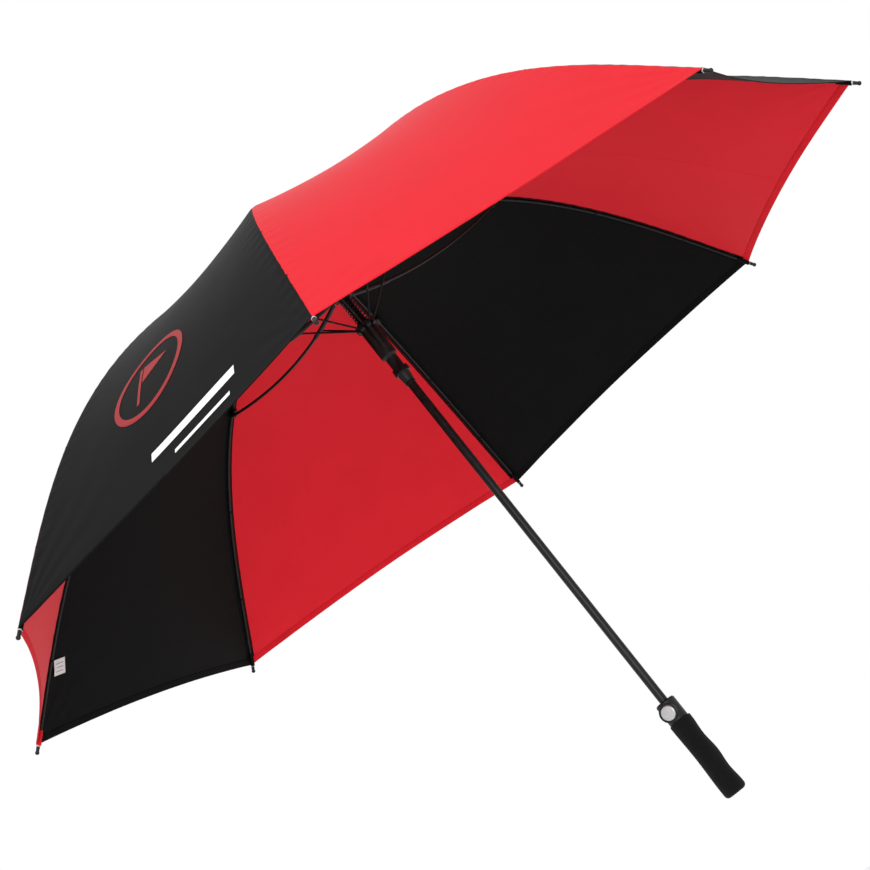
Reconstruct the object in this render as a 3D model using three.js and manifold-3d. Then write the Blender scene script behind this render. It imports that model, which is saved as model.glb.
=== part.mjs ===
// Golf umbrella, open, as an assembly of separate pieces. Millimetres, +Z up.
// The origin is the centre of the handle's flat bottom end and the shaft runs up the Z axis.
// Rib 1 points along +X, and the ribs and panels are numbered anticlockwise seen from above.

import * as THREE from 'three';
import { mergeVertices } from 'three/addons/utils/BufferGeometryUtils.js';
import Module from 'manifold-3d';

const wasm = await Module();
wasm.setup();

// ---------------------------------------------------------------- driving dimensions

const ribCount = 8;
const ribAngle = (2 * Math.PI) / ribCount;
const gap = 0.3; // running gap that keeps touching pieces apart
const fine = 48; // facets of the larger turned pieces
const overcut = 1; // how far a cutter reaches past the face it cuts

const canopy = {
  span: 650, // shaft axis to the end of a rib tip
  cornerShare: 0.985, // where a panel's corner sits on the span
  innerRadius: 9, // hole round the ferrule
  crownHeight: 859, // middle of the fabric at the crown
  drop: 297, // fall of the seam from the crown to the full span
  curl: 2.64, // power of the seam's curve: flat at the crown, steep at the hem
  tuck: 173, // how much the tight cloth bends the outer rib further down
  tuckPower: 6,
  belly: 25, // how strongly a taut panel pulls in near the crown
  hemDip: 9, // how far the middle of the hem lies inside its corners
  scallop: 14, // how far the hem curves up between its corners
  thickness: 1,
};

const rib = { radius: 2, belowFabric: 3.3, innerEnd: 10.9, end: 639.5 };
const tip = { radius: 2.4, bulb: 2.9, length: 13, bulbLength: 4.5, rounding: 1 };
const bracket = { at: 318, length: 13, width: 6, depth: 7, topAboveRod: 0.4 };

// the stretchers lie beside the ribs, so that the two can pass each other
const stretcher = {
  radius: 2,
  socketRadius: 2.9,
  socketStart: 0.02, // share of the arch where the moulded socket begins
  socketLength: 74,
  sideStep: 5.4,
  eye: 3.2,
};
const stretcherPath = {
  pivot: [12, 768],
  bow: [150, 752],
  end: [318, 804],
  tail: [9.8, 768.1],
};
const strut = { radius: 1.2, eye: 1.9, pivot: [12, 719], end: [69.7, 764.4] };

const shaft = { radius: 5.5, bore: 4.2, bottom: 24, top: 872 };
const bore = shaft.radius + gap; // every piece on the shaft has this bore

const crownHub = { core: 8.6, ring: 17, bottom: 838, ringBottom: 850.6, top: 856.2, slot: 5 };
const washer = { radius: 16, bottom: 859.9, top: 862.2 };
const ferrule = {
  bottom: 862.6,
  flange: 11,
  flangeTop: 864.6,
  base: 7.6,
  baseHeight: 867.1,
  socket: 873,
  point: 4.6,
  pointHeight: 918,
  end: 3.3,
  endHeight: 920.8,
  top: 922,
};

const upperRunner = {
  bottom: 764.5,
  ring: 15,
  ringTop: 771.6,
  core: 9.2,
  chamfer: 1.4,
  chamferHeight: 3,
  top: 790,
  slot: 5,
};
const lowerRunner = {
  bottom: 625,
  nose: 7.2,
  noseTop: 634.5,
  sleeve: 7.75,
  sleeveBottom: 635.5,
  sleeveTop: 667,
  body: 11,
  bodyBottom: 670,
  bodyTop: 712.6,
  ring: 14.2,
  ringBottom: 714.6,
  top: 722,
  slot: 3.4,
  slotInner: 9.9,
  slotBottom: 709.6,
};
const latchGroove = { radius: 6.5, bottom: 626.7, top: 629.7 };
const flange = { radius: 10.4, bottom: 641.5, top: 644.9 };
const tab = { count: 4, width: 3.2, inner: 6.95, bottom: 643.9, top: 650.9 };
const springCup = { radius: 9.1, bottom: 706 };
const openingSpring = { wire: 1, radius: 7.6, bottom: 707.4, top: 763.2, turns: 10 };

const grip = {
  bottom: 0,
  top: 106,
  bore: 5.9,
  halfDepth: 13.6,
  back: 13.7,
  rounding: 5,
  firstRing: 13,
  ringStep: 10,
  lastRing: 104,
  topChamfer: 1.5,
};
const finger = { middle: 54, pitch: 48, mean: 14.2, swell: 1.1, taperFrom: 60, taper: 0.006 };
const endPlug = { radius: 9, thickness: 5, stem: 5.2, top: 20 };
const housing = {
  radius: 12.7,
  bottom: 106.4,
  top: 134,
  chamfer: 1.5,
  noseBore: 7.8,
  noseFloor: 124.2,
};

const button = {
  azimuth: -20,
  height: 119.5,
  radius: 9.4,
  back: 10.1,
  face: 14,
  edge: 1,
  rim: 2.2,
  dish: 0.6,
};
const buttonWell = { radius: 9.8, floor: 7.8, rim: 11.6, rimBack: 8.8, rimFace: 13.4 };
const returnSpring = { wire: 0.4, radius: 2.4, height: 113.5, from: 6.9, to: 9.5, turns: 3 };
const springPocket = { radius: 3.2, floor: 6.4 };
const latchPlate = { bottom: 127, top: 129, radius: 9.3, shift: 0.3, hole: 7.7, holeShift: 1 };
const latchRoom = { inner: 6.8, radius: 11.3, bottom: 126.6, top: 129.4 };

const strap = { from: 0.62, to: 0.85, side: 0.4, width: 22, thickness: 0.9, lift: 1.3 };
const label = { width: 20, length: 18, thickness: 0.4, at: 0.895, fromSeam: 9, below: 1.4 };

// ---------------------------------------------------------------- materials

function material(color, roughness, metalness = 0) {
  return new THREE.MeshStandardMaterial({ color, roughness, metalness });
}

const looks = {
  redFabric: () => material(0xc8242e, 0.7),
  blackFabric: () => material(0x1c1c1e, 0.7),
  fibreglass: () => material(0x141414, 0.35),
  plastic: () => material(0x161616, 0.5),
  springSteel: () => material(0x1a1a1a, 0.35, 0.7),
  satinMetal: () => material(0xb8b8ba, 0.3, 0.9),
  steel: () => material(0x8c8c8e, 0.35, 0.9),
  foam: () => material(0x121212, 0.9),
  labelTape: () => material(0xd8d8d6, 0.8),
};

// ---------------------------------------------------------------- shape helpers

const object = new THREE.Group();

function add(name, geometry, look, azimuth = 0) {
  const mesh = new THREE.Mesh(geometry, looks[look]());
  mesh.name = name;
  mesh.rotation.z = azimuth;
  object.add(mesh);
  return mesh;
}

function positionsOnly(geometry) {
  const bare = geometry.clone();
  bare.deleteAttribute('normal');
  bare.deleteAttribute('uv');
  return mergeVertices(bare, 1e-4);
}

function toSolid(geometry) {
  const bare = positionsOnly(geometry);
  const vertProperties = new Float32Array(bare.getAttribute('position').array);
  const triVerts = new Uint32Array(bare.getIndex().array);
  return new wasm.Manifold(new wasm.Mesh({ numProp: 3, vertProperties, triVerts }));
}

function toGeometry(solid) {
  const mesh = solid.getMesh();
  const geometry = new THREE.BufferGeometry();
  geometry.setAttribute('position', new THREE.BufferAttribute(mesh.vertProperties.slice(), 3));
  geometry.setIndex(new THREE.BufferAttribute(mesh.triVerts.slice(), 1));
  geometry.computeVertexNormals();
  return geometry;
}

// a body of revolution about Z, from a closed outline of [radius, height] points, anticlockwise
// when radius runs right and height runs up
function turned(outline, segments = 24) {
  const points = [...outline, outline[0]].map(([r, z]) => new THREE.Vector2(r, z));
  return new THREE.LatheGeometry(points, segments).rotateX(Math.PI / 2);
}

function ring(inner, outer, bottom, top, segments = 24) {
  return turned([[inner, bottom], [outer, bottom], [outer, top], [inner, top]], segments);
}

function disc(radius, bottom, top, segments = 24) {
  return new THREE.CylinderGeometry(radius, radius, top - bottom, segments)
    .rotateX(Math.PI / 2)
    .translate(0, 0, (bottom + top) / 2);
}

// a cylinder that points along +X, from one distance to another
function crossPin(radius, from, to, segments = 20) {
  return new THREE.CylinderGeometry(radius, radius, to - from, segments)
    .rotateZ(Math.PI / 2)
    .translate((from + to) / 2, 0, 0);
}

// a box between two corners
function block([x0, y0, z0], [x1, y1, z1]) {
  return new THREE.BoxGeometry(x1 - x0, y1 - y0, z1 - z0)
    .translate((x0 + x1) / 2, (y0 + y1) / 2, (z0 + z1) / 2);
}

function circleShape(radius, sides) {
  const corners = Array.from({ length: sides }, (_, i) => {
    const turn = (2 * Math.PI * i) / sides;
    return new THREE.Vector2(radius * Math.cos(turn), radius * Math.sin(turn));
  });
  return new THREE.Shape(corners);
}

// a round bar of a given radius along a curve
function bar(curve, radius, steps, sides = 6) {
  return new THREE.ExtrudeGeometry(circleShape(radius, sides), {
    steps,
    extrudePath: curve,
    bevelEnabled: false,
  });
}

function straight(from, to) {
  return new THREE.LineCurve3(new THREE.Vector3(...from), new THREE.Vector3(...to));
}

// a small disc whose axis runs along Y, for the eye at the end of a bar
function eye(radius, [x, z], fromY, toY) {
  return new THREE.CylinderGeometry(radius, radius, toY - fromY, 10)
    .translate(x, (fromY + toY) / 2, z);
}

class Helix extends THREE.Curve {
  constructor(radius, bottom, top, turns) {
    super();
    Object.assign(this, { radius, bottom, top, turns });
  }

  getPoint(t, target = new THREE.Vector3()) {
    const turn = 2 * Math.PI * this.turns * t;
    const height = this.bottom + (this.top - this.bottom) * t;
    return target.set(this.radius * Math.cos(turn), this.radius * Math.sin(turn), height);
  }
}

function coil({ wire, radius, turns }, bottom, top, stepsPerTurn) {
  return bar(new Helix(radius, bottom, top, turns), wire, turns * stepsPerTurn, 5);
}

function repeated(count, makeSolid) {
  return Array.from({ length: count }, (_, i) => makeSolid(i));
}

// takes ribCount copies of a cutter, one at each rib, out of a solid
function slotted(solid, cutter) {
  const cuts = repeated(ribCount, (i) => toSolid(cutter.clone().rotateZ(i * ribAngle)));
  return cuts.reduce((rest, cut) => rest.subtract(cut), solid);
}

// ---------------------------------------------------------------- the canopy's surface

function seamHeight(r) {
  const share = r / canopy.span;
  const tucked = canopy.tuck * share ** canopy.tuckPower * (1 - share);
  return canopy.crownHeight - canopy.drop * share ** canopy.curl - tucked;
}

function seamSlope(r) {
  const share = r / canopy.span;
  const { drop, curl, tuck, tuckPower, span } = canopy;
  const bend = tuckPower * share ** (tuckPower - 1) - (tuckPower + 1) * share ** tuckPower;
  return -(drop * curl * share ** (curl - 1) + tuck * bend) / span;
}

// a point on the seam, moved along the seam's own normal, in the rib's upright plane
function besideSeam(r, offset) {
  const slope = seamSlope(r);
  const length = Math.hypot(1, slope);
  return new THREE.Vector3(r - (offset * slope) / length, 0, seamHeight(r) + offset / length);
}

// a point of a panel whose middle lies along +X. along runs from 0 at the crown to 1 at the hem,
// across from -1 at one seam to 1 at the other, and offset is measured outwards from the fabric
function panelPoint(along, across, offset) {
  const corner = canopy.span * canopy.cornerShare;
  const r = canopy.innerRadius + (corner - canopy.innerRadius) * along;
  const slope = seamSlope(r);
  const length = Math.hypot(1, slope);
  const sag = 1 - across ** 2;
  const dip = sag * (canopy.hemDip * along + canopy.belly * along * (1 - along) ** 2);
  const rise = sag * canopy.scallop * along ** 4;
  const out = offset - dip;
  const x = r * Math.cos(ribAngle / 2) - (out * slope) / length - rise / length;
  const y = across * (r * Math.sin(ribAngle / 2) - gap);
  const z = seamHeight(r) + out / length - (rise * slope) / length;
  return new THREE.Vector3(x, y, z);
}

// a closed sheet between two offsets, over a patch of a panel
function sheet(alongRange, acrossRange, offsets, rows, columns) {
  const positions = [];
  const index = [];
  const lerp = THREE.MathUtils.lerp;
  const [low, high] = offsets;
  for (const offset of [high, low]) {
    for (let i = 0; i <= rows; i += 1) {
      for (let j = 0; j <= columns; j += 1) {
        const along = lerp(...alongRange, i / rows);
        const across = lerp(...acrossRange, j / columns);
        positions.push(...panelPoint(along, across, offset).toArray());
      }
    }
  }
  const layer = (rows + 1) * (columns + 1);
  const at = (i, j, side) => side * layer + i * (columns + 1) + j;
  const quad = (a, b, c, d) => index.push(a, b, c, a, c, d);
  for (let i = 0; i < rows; i += 1) {
    for (let j = 0; j < columns; j += 1) {
      quad(at(i, j, 0), at(i + 1, j, 0), at(i + 1, j + 1, 0), at(i, j + 1, 0));
      quad(at(i, j, 1), at(i, j + 1, 1), at(i + 1, j + 1, 1), at(i + 1, j, 1));
    }
  }
  for (let i = 0; i < rows; i += 1) {
    quad(at(i, 0, 0), at(i, 0, 1), at(i + 1, 0, 1), at(i + 1, 0, 0));
    quad(at(i, columns, 0), at(i + 1, columns, 0), at(i + 1, columns, 1), at(i, columns, 1));
  }
  for (let j = 0; j < columns; j += 1) {
    quad(at(0, j, 0), at(0, j + 1, 0), at(0, j + 1, 1), at(0, j, 1));
    quad(at(rows, j, 0), at(rows, j, 1), at(rows, j + 1, 1), at(rows, j + 1, 0));
  }
  const geometry = new THREE.BufferGeometry();
  geometry.setAttribute('position', new THREE.Float32BufferAttribute(positions, 3));
  geometry.setIndex(index);
  geometry.computeVertexNormals();
  return geometry;
}

// ---------------------------------------------------------------- canopy, ribs and tips

class RibCurve extends THREE.Curve {
  getPoint(t, target = new THREE.Vector3()) {
    const r = THREE.MathUtils.lerp(rib.innerEnd, rib.end, t);
    return target.copy(besideSeam(r, -rib.belowFabric));
  }
}

// the moulded clip on a rib that the stretcher's end is pinned to
function ribBracket() {
  const centre = besideSeam(bracket.at, -rib.belowFabric);
  return new THREE.BoxGeometry(bracket.length, bracket.width, bracket.depth)
    .translate(0, 0, bracket.topAboveRod - bracket.depth / 2)
    .rotateY(-Math.atan(seamSlope(bracket.at)))
    .translate(centre.x, 0, centre.z);
}

function ribSolid() {
  const rod = toSolid(bar(new RibCurve(), rib.radius, 24));
  return toGeometry(rod.add(toSolid(ribBracket())));
}

// the cap on a rib's end: a sleeve with a rounded bulb, pointing along the rib's last direction
function ribTip() {
  const { radius, bulb, length, bulbLength, rounding } = tip;
  const cap = turned([
    [0, 0],
    [radius, 0],
    [radius, length - bulbLength],
    [bulb, length - bulbLength + rounding],
    [bulb, length - rounding],
    [bulb - rounding, length],
    [0, length],
  ], 10);
  const start = besideSeam(rib.end + gap, -rib.belowFabric);
  const pitch = Math.PI / 2 - Math.atan(seamSlope(rib.end));
  return cap.rotateY(pitch).translate(start.x, 0, start.z);
}

function canopyPanel() {
  const half = canopy.thickness / 2;
  return sheet([0, 1], [-1, 1], [-half, half], 12, 8);
}

const ribGeometry = ribSolid();
const tipGeometry = ribTip();
const panelGeometry = canopyPanel();

for (let i = 0; i < ribCount; i += 1) {
  const number = i + 1;
  const azimuth = i * ribAngle;
  const colour = i % 2 === 0 ? 'redFabric' : 'blackFabric';
  add(`rib_${number}`, ribGeometry, 'fibreglass', azimuth);
  add(`rib_tip_${number}`, tipGeometry, 'plastic', azimuth);
  add(`canopy_panel_${number}`, panelGeometry, colour, azimuth + ribAngle / 2);
}

// ---------------------------------------------------------------- stretchers and struts

function stretcherSolid() {
  const { radius, socketRadius, socketStart, socketLength, sideStep } = stretcher;
  const point = ([r, z]) => new THREE.Vector3(r, sideStep, z);
  const { pivot, bow, end, tail } = stretcherPath;
  const arch = new THREE.QuadraticBezierCurve3(point(pivot), point(bow), point(end));
  const rod = toSolid(bar(arch, radius, 10));
  const root = toSolid(bar(straight(point(tail).toArray(), point(pivot).toArray()), radius, 1));
  const reach = socketLength / arch.getLength();
  const from = arch.getPoint(socketStart);
  const socketEnd = arch.getPoint(reach);
  const socket = toSolid(bar(straight(from.toArray(), socketEnd.toArray()), socketRadius, 1, 8));
  const inner = sideStep - radius;
  const outer = sideStep + radius;
  const endEye = toSolid(eye(stretcher.eye, end, inner, outer));
  const runnerRoom = toSolid(disc(upperRunner.ring + gap, upperRunner.bottom, upperRunner.top));
  return toGeometry(rod.add(socket.subtract(runnerRoom)).add(root).add(endEye));
}

function strutSolid() {
  const { radius, pivot, end } = strut;
  const link = straight([pivot[0], 0, pivot[1]], [end[0], 0, end[1]]);
  const ends = [pivot, end].map((at) => toSolid(eye(strut.eye, at, -radius, radius)));
  return toGeometry(toSolid(bar(link, radius, 1)).add(ends[0]).add(ends[1]));
}

const stretcherGeometry = stretcherSolid();
const strutGeometry = strutSolid();

for (let i = 0; i < ribCount; i += 1) {
  add(`stretcher_${i + 1}`, stretcherGeometry, 'fibreglass', i * ribAngle);
  add(`strut_${i + 1}`, strutGeometry, 'springSteel', i * ribAngle);
}

// ---------------------------------------------------------------- shaft and crown

add('shaft_tube', ring(shaft.bore, shaft.radius, shaft.bottom, shaft.top, 24), 'fibreglass');

function crownHubSolid() {
  const { core, bottom, ringBottom, top, slot } = crownHub;
  const body = turned([
    [bore, bottom],
    [core, bottom],
    [core, ringBottom],
    [crownHub.ring, ringBottom],
    [crownHub.ring, top],
    [bore, top],
  ], fine);
  const inner = [core + gap, -slot / 2, ringBottom - overcut];
  const outer = [crownHub.ring + overcut, slot / 2, top + overcut];
  return toGeometry(slotted(toSolid(body), block(inner, outer)));
}

function ferruleSolid() {
  return turned([
    [0, ferrule.socket],
    [bore, ferrule.socket],
    [bore, ferrule.bottom],
    [ferrule.flange, ferrule.bottom],
    [ferrule.flange, ferrule.flangeTop],
    [ferrule.base, ferrule.baseHeight],
    [ferrule.point, ferrule.pointHeight],
    [ferrule.end, ferrule.endHeight],
    [0, ferrule.top],
  ]);
}

add('crown_hub', crownHubSolid(), 'plastic');
add('crown_washer', ring(bore, washer.radius, washer.bottom, washer.top), 'plastic');
add('ferrule', ferruleSolid(), 'plastic');

// ---------------------------------------------------------------- runners and opening spring

function upperRunnerSolid() {
  const { core, bottom, ringTop, chamfer, chamferHeight, top, slot } = upperRunner;
  const body = turned([
    [bore, bottom],
    [upperRunner.ring, bottom],
    [upperRunner.ring, ringTop],
    [core, ringTop],
    [core, top - chamferHeight],
    [core - chamfer, top],
    [bore, top],
  ], fine);
  const side = stretcher.sideStep;
  const inner = [core, side - slot / 2, bottom - overcut];
  const outer = [upperRunner.ring + overcut, side + slot / 2, ringTop + overcut];
  return toGeometry(slotted(toSolid(body), block(inner, outer)));
}

function lowerRunnerSolid() {
  const { bottom, nose, noseTop, sleeve, body, ringBottom, top, slot } = lowerRunner;
  const outline = [
    [bore, bottom],
    [nose, bottom],
    [nose, latchGroove.bottom],
    [latchGroove.radius, latchGroove.bottom],
    [latchGroove.radius, latchGroove.top],
    [nose, latchGroove.top],
    [nose, noseTop],
    [sleeve, lowerRunner.sleeveBottom],
    [sleeve, flange.bottom],
    [flange.radius, flange.bottom],
    [flange.radius, flange.top],
    [sleeve, flange.top],
    [sleeve, lowerRunner.sleeveTop],
    [body, lowerRunner.bodyBottom],
    [body, lowerRunner.bodyTop],
    [lowerRunner.ring, ringBottom],
    [lowerRunner.ring, top],
    [springCup.radius, top],
    [springCup.radius, springCup.bottom],
    [bore, springCup.bottom],
  ];
  const inner = [lowerRunner.slotInner, -slot / 2, lowerRunner.slotBottom];
  const outer = [lowerRunner.ring + overcut, slot / 2, top + overcut];
  const slottedBody = slotted(toSolid(turned(outline, fine)), block(inner, outer));
  const tabs = repeated(tab.count, (i) => {
    const ear = block([tab.inner, -tab.width / 2, tab.bottom], [flange.radius, tab.width / 2, tab.top]);
    return toSolid(ear.rotateZ(ribAngle / 2 + (i * 2 * Math.PI) / tab.count));
  });
  return toGeometry(tabs.reduce((whole, ear) => whole.add(ear), slottedBody));
}

add('upper_runner', upperRunnerSolid(), 'plastic');
add('lower_runner', lowerRunnerSolid(), 'plastic');
const springGeometry = coil(openingSpring, openingSpring.bottom, openingSpring.top, 10);
add('opening_spring', springGeometry, 'springSteel');

// ---------------------------------------------------------------- handle

// the grip's outline swells for the fingers on its +Y side and stays nearly straight on the other
function gripFrontRadius(z) {
  const { middle, pitch, mean, swell, taperFrom, taper } = finger;
  const wave = Math.cos((2 * Math.PI * (z - middle)) / pitch);
  return mean + swell * wave - taper * Math.max(0, z - taperFrom);
}

function gripRing(z, inset) {
  const sides = 20;
  const front = gripFrontRadius(z) - inset;
  const back = grip.back - inset;
  return repeated(sides, (i) => {
    const turn = (2 * Math.PI * i) / sides;
    const reach = Math.sin(turn) > 0 ? front : back;
    return [(grip.halfDepth - inset) * Math.cos(turn), reach * Math.sin(turn), z];
  });
}

// closes a stack of equal rings into a solid
function lofted(rings) {
  const sides = rings[0].length;
  const positions = rings.flat(2);
  const index = [];
  rings.slice(1).forEach((_, level) => {
    for (let i = 0; i < sides; i += 1) {
      const next = (i + 1) % sides;
      const [a, b] = [level * sides + i, level * sides + next];
      index.push(a, b, b + sides, a, b + sides, a + sides);
    }
  });
  const last = (rings.length - 1) * sides;
  for (let i = 1; i < sides - 1; i += 1) {
    index.push(0, i + 1, i);
    index.push(last, last + i, last + i + 1);
  }
  const geometry = new THREE.BufferGeometry();
  geometry.setAttribute('position', new THREE.Float32BufferAttribute(positions, 3));
  geometry.setIndex(index);
  return geometry;
}

function gripSolid() {
  const { bottom, top, rounding, firstRing, ringStep, lastRing } = grip;
  const edgeSteps = 3;
  const rings = [];
  for (let i = 0; i <= edgeSteps; i += 1) {
    const turn = ((i / edgeSteps) * Math.PI) / 2;
    rings.push(gripRing(bottom + rounding * (1 - Math.cos(turn)), rounding * (1 - Math.sin(turn))));
  }
  for (let z = firstRing; z < lastRing; z += ringStep) rings.push(gripRing(z, 0));
  rings.push(gripRing(lastRing, 0), gripRing(top, grip.topChamfer));
  const plugRoom = disc(endPlug.radius + gap, bottom - overcut, endPlug.thickness + gap);
  const hollow = toSolid(disc(grip.bore, bottom - overcut, top + overcut)).add(toSolid(plugRoom));
  return toGeometry(toSolid(lofted(rings)).subtract(hollow));
}

function endPlugSolid() {
  const { radius, thickness, stem, top } = endPlug;
  return turned([[0, 0], [radius, 0], [radius, thickness], [stem, thickness], [stem, top], [0, top]]);
}

// turns a shape that was made facing +X to the button's side of the handle
function towardsButton(geometry, height = 0) {
  return geometry.translate(0, 0, height).rotateZ(THREE.MathUtils.degToRad(button.azimuth));
}

function housingSolid() {
  const { radius, bottom, top, chamfer, noseBore, noseFloor } = housing;
  const body = turned([
    [bore, bottom],
    [radius, bottom],
    [radius, top - chamfer],
    [radius - chamfer, top],
    [noseBore, top],
    [noseBore, noseFloor],
    [bore, noseFloor],
  ], fine);
  const { rim, rimBack, rimFace, floor } = buttonWell;
  const raisedRim = crossPin(rim, rimBack, rimFace, fine);
  const well = crossPin(buttonWell.radius, floor, rimFace + overcut, fine);
  const pocket = crossPin(springPocket.radius, springPocket.floor, floor + overcut);
  const aboveTop = disc(radius + rim, top, top + rim);
  const latchSpace = ring(latchRoom.inner, latchRoom.radius, latchRoom.bottom, latchRoom.top);
  return toGeometry(
    toSolid(body)
      .add(toSolid(towardsButton(raisedRim, button.height)))
      .subtract(toSolid(disc(bore, bottom - overcut, noseFloor + overcut, fine)))
      .subtract(toSolid(disc(noseBore, noseFloor, top + overcut, fine)))
      .subtract(toSolid(towardsButton(well, button.height)))
      .subtract(toSolid(towardsButton(pocket, returnSpring.height)))
      .subtract(toSolid(latchSpace))
      .subtract(toSolid(aboveTop)),
  );
}

function buttonSolid() {
  const { radius, back, face, edge, rim, dish } = button;
  const outline = [
    [0, back],
    [radius, back],
    [radius, face - edge],
    [radius - edge, face],
    [radius - rim, face],
    [0, face - dish],
  ];
  return towardsButton(turned(outline, 28).rotateY(Math.PI / 2), button.height);
}

function latchPlateSolid() {
  const { bottom, top, radius, shift, hole, holeShift } = latchPlate;
  const plate = disc(radius, bottom, top).translate(shift, 0, 0);
  const opening = disc(hole, bottom - overcut, top + overcut).translate(holeShift, 0, 0);
  return towardsButton(toGeometry(toSolid(plate).subtract(toSolid(opening))));
}

function returnSpringSolid() {
  const { from, to, height } = returnSpring;
  return towardsButton(coil(returnSpring, from, to, 8).rotateY(Math.PI / 2), height);
}

add('foam_grip', gripSolid(), 'foam');
add('grip_end_plug', endPlugSolid(), 'plastic');
add('handle_housing', housingSolid(), 'plastic');
add('push_button', buttonSolid(), 'satinMetal');
add('latch_plate', latchPlateSolid(), 'steel');
add('button_return_spring', returnSpringSolid(), 'steel');

// ---------------------------------------------------------------- closing strap and care label

const strapPanel = 6; // the panel, counted from 1, that carries the closing strap
const labelRib = 7; // the rib, counted from 1, beside which the care label is sewn

function strapSolid() {
  const middle = (strap.from + strap.to) / 2;
  const halfPanel = canopy.span * canopy.cornerShare * middle * Math.sin(ribAngle / 2);
  const halfWidth = strap.width / 2 / halfPanel;
  const range = [-strap.side - halfWidth, -strap.side + halfWidth];
  return sheet([strap.from, strap.to], range, [strap.lift, strap.lift + strap.thickness], 6, 2);
}

function labelSolid() {
  const { width, length, thickness, at, fromSeam, below } = label;
  const corner = canopy.span * canopy.cornerShare;
  const halfPanel = corner * at * Math.sin(ribAngle / 2);
  const near = 1 - fromSeam / halfPanel;
  const far = near - width / halfPanel;
  const reach = length / 2 / corner / Math.hypot(1, seamSlope(corner * at));
  return sheet([at - reach, at + reach], [far, near], [-below - thickness, -below], 2, 2);
}

add('closure_strap', strapSolid(), 'blackFabric', (strapPanel - 0.5) * ribAngle);
add('care_label', labelSolid(), 'labelTape', (labelRib - 1.5) * ribAngle);

export default object;
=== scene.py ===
# %% [markdown]
# # A golf umbrella, open
#
# The umbrella's working frame (its tubes, hinges, runners and sizes) already exists as a set of
# plain solids. This lesson dresses that frame: eight cloth panels are sewn over eight sprung ribs,
# and every rod, moulding and spring gets its finished surface. Each step first says what the piece
# is on a real umbrella, then how it can be made in Blender.

# %% Load the frame
import math

import bmesh
import bpy
from mathutils import Matrix, Quaternion, Vector, noise


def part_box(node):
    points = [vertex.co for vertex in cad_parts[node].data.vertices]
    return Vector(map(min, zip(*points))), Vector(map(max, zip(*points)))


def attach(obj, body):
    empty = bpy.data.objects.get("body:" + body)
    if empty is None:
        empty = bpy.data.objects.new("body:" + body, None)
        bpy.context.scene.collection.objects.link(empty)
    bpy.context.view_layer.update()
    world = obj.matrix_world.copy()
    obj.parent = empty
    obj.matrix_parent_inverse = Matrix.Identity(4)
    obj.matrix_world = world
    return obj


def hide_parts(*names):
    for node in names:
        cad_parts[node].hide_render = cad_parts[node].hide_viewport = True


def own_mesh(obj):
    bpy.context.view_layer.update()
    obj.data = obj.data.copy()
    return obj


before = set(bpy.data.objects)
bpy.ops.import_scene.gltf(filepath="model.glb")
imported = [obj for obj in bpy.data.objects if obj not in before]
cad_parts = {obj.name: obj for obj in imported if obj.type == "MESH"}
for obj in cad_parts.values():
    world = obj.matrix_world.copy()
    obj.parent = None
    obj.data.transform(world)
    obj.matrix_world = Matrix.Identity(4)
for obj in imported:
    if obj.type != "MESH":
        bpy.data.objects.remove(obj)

scene = bpy.context.scene
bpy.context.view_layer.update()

# %% [markdown]
# ## The camera
#
# The umbrella stands upright in its own frame, handle down. The camera looks at it from just below
# the handle and from the side, slightly upwards, and is rolled so that the crown leans to
# the upper left. A long lens keeps the far ribs nearly as large as the near ones.

# %% Place the camera
camera_place = Vector((2.6466, 0.1405, -0.0587))
look_azimuth = math.radians(-176.601)
look_rise = math.radians(13.063)
camera_roll = math.radians(-38.389)
lens_length = 92.73

look = Vector((
    math.cos(look_azimuth) * math.cos(look_rise),
    math.sin(look_azimuth) * math.cos(look_rise),
    math.sin(look_rise),
))
camera = bpy.data.objects.new("camera", bpy.data.cameras.new("camera"))
camera.data.lens = lens_length
camera.location = camera_place
camera_turn = look.to_track_quat("-Z", "Y") @ Quaternion((0, 0, 1), camera_roll)
camera.rotation_euler = camera_turn.to_euler()
scene.collection.objects.link(camera)
scene.camera = camera
print("camera at", tuple(camera.location), "with a lens of", lens_length, "mm")

# %% [markdown]
# ## Floor and light
#
# An umbrella is lit like a tent: white all round, a soft lamp above that shapes the outside of the
# cloth, and a larger, stronger one behind the camera so that the inside keeps its colour. The floor is
# pale and lies well below the handle, where it only sends some light back up. Its finish is made
# further down, with the other materials.

# %% Build the studio
floor_height = -0.45
floor_reach = 8.0
floor_sides = 96
world_light = 1.0

floor_mesh = bpy.data.meshes.new("studio_floor")
bm = bmesh.new()
bmesh.ops.create_circle(bm, cap_ends=True, segments=floor_sides, radius=floor_reach)
bmesh.ops.translate(bm, vec=(0, 0, floor_height), verts=bm.verts)
bm.to_mesh(floor_mesh)
bm.free()
floor = bpy.data.objects.new("studio_floor", floor_mesh)
scene.collection.objects.link(floor)

scene.view_settings.view_transform = "Standard"
world = bpy.data.worlds.new("studio")
scene.world = world
world.use_nodes = True
background = world.node_tree.nodes["Background"]
background.inputs["Color"].default_value = (1, 1, 1, 1)
background.inputs["Strength"].default_value = world_light


def softbox(name, place, aim, size, power):
    """A square area lamp at a place, turned to face a point."""
    lamp = bpy.data.lights.new(name, "AREA")
    lamp.shape = "SQUARE"
    lamp.size = size
    lamp.energy = power
    holder = bpy.data.objects.new(name, lamp)
    holder.location = place
    holder.rotation_euler = (Vector(aim) - Vector(place)).to_track_quat("-Z", "Y").to_euler()
    scene.collection.objects.link(holder)


crown_middle = (0, 0, 0.7)
softbox("lamp_above", (1.6, -0.5, 2.9), crown_middle, 1.8, 13)
softbox("lamp_behind_camera", (3.3, 0.5, 0.1), crown_middle, 2.2, 60)
print("a white world, two lamps and a floor at", floor_height, "m")

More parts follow.
